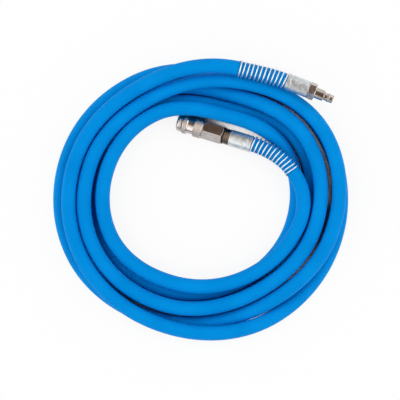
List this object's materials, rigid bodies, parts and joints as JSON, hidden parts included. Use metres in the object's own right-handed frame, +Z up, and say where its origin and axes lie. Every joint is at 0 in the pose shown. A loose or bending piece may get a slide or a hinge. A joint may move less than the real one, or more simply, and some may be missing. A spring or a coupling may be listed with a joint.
{
  "type": "coiled air hose",
  "caption": "Flexible compressed-air hose laid in a flat coil, with a spring-loaded quick coupler on one end, a plug on the other, crimped ferrules and anti-kink springs.",
  "frame": {"origin": "on the floor plane under the middle of the part's outline", "axes": "+Z up, square to the coil; the plug points along +X, turned 4.5 degrees towards -Y, and the coupler's mouth faces -X, tipped 8.5 degrees down"},
  "size_m": [0.3228, 0.313, 0.0462],
  "materials": {
    "hose": "satin",
    "nickel": "polished",
    "dark_nickel": "satin",
    "zinc": "satin",
    "spring_wire": "bright",
    "ball_steel": "polished",
    "brass": "satin",
    "seal": "matte"
  },
  "bodies": {
    "hose": {"hose_coil": "hose", "plug_body": "nickel", "plug_ferrule": "zinc", "plug_spring": "spring_wire", "coupler_ferrule": "zinc", "coupler_spring": "spring_wire", "hose_tail": "dark_nickel", "tail_washer": "seal", "coupler_body": "nickel", "ball_cage": "nickel", "stop_ring": "nickel", "sleeve_spring": "spring_wire", "plug_seal": "seal", "body_o_ring": "seal", "valve_spring": "spring_wire", "valve_guide": "brass"},
    "sleeve": {"locking_sleeve": "nickel"},
    "valve": {"valve_poppet": "brass", "valve_seal": "seal"},
    "ball_1": {"locking_ball_1": "ball_steel"},
    "ball_2": {"locking_ball_2": "ball_steel"},
    "ball_3": {"locking_ball_3": "ball_steel"},
    "ball_4": {"locking_ball_4": "ball_steel"},
    "ball_5": {"locking_ball_5": "ball_steel"},
    "ball_6": {"locking_ball_6": "ball_steel"}
  },
  "joints": [
    {"name": "sleeve_slide", "type": "slide", "parent": "hose", "child": "sleeve", "axis": [0.989, 0, 0.1478], "range_m": [0, 0.0035], "stiffness_N_per_m": 3000, "springref_m": -0.004, "deforming": ["sleeve_spring"]},
    {"name": "valve_slide", "type": "slide", "parent": "hose", "child": "valve", "axis": [0.989, 0, 0.1478], "range_m": [0, 0.005], "stiffness_N_per_m": 2000, "springref_m": -0.003, "deforming": ["valve_spring"]},
    {"name": "ball_1_slide", "type": "slide", "parent": "hose", "child": "ball_1", "axis": [0.128, 0.5, -0.8565], "range_m": [0, 0.00131]},
    {"name": "ball_2_slide", "type": "slide", "parent": "hose", "child": "ball_2", "axis": [0, 1, 0], "range_m": [0, 0.00131]},
    {"name": "ball_3_slide", "type": "slide", "parent": "hose", "child": "ball_3", "axis": [-0.128, 0.5, 0.8565], "range_m": [0, 0.00131]},
    {"name": "ball_4_slide", "type": "slide", "parent": "hose", "child": "ball_4", "axis": [-0.128, -0.5, 0.8565], "range_m": [0, 0.00131]},
    {"name": "ball_5_slide", "type": "slide", "parent": "hose", "child": "ball_5", "axis": [0, -1, 0], "range_m": [0, 0.00131]},
    {"name": "ball_6_slide", "type": "slide", "parent": "hose", "child": "ball_6", "axis": [0.128, -0.5, -0.8565], "range_m": [0, 0.00131]}
  ],
  "couplings": [
    {"joint": "ball_1_slide", "follows": "sleeve_slide", "ratio": 0.37143},
    {"joint": "ball_2_slide", "follows": "sleeve_slide", "ratio": 0.37143},
    {"joint": "ball_3_slide", "follows": "sleeve_slide", "ratio": 0.37143},
    {"joint": "ball_4_slide", "follows": "sleeve_slide", "ratio": 0.37143},
    {"joint": "ball_5_slide", "follows": "sleeve_slide", "ratio": 0.37143},
    {"joint": "ball_6_slide", "follows": "sleeve_slide", "ratio": 0.37143}
  ]
}
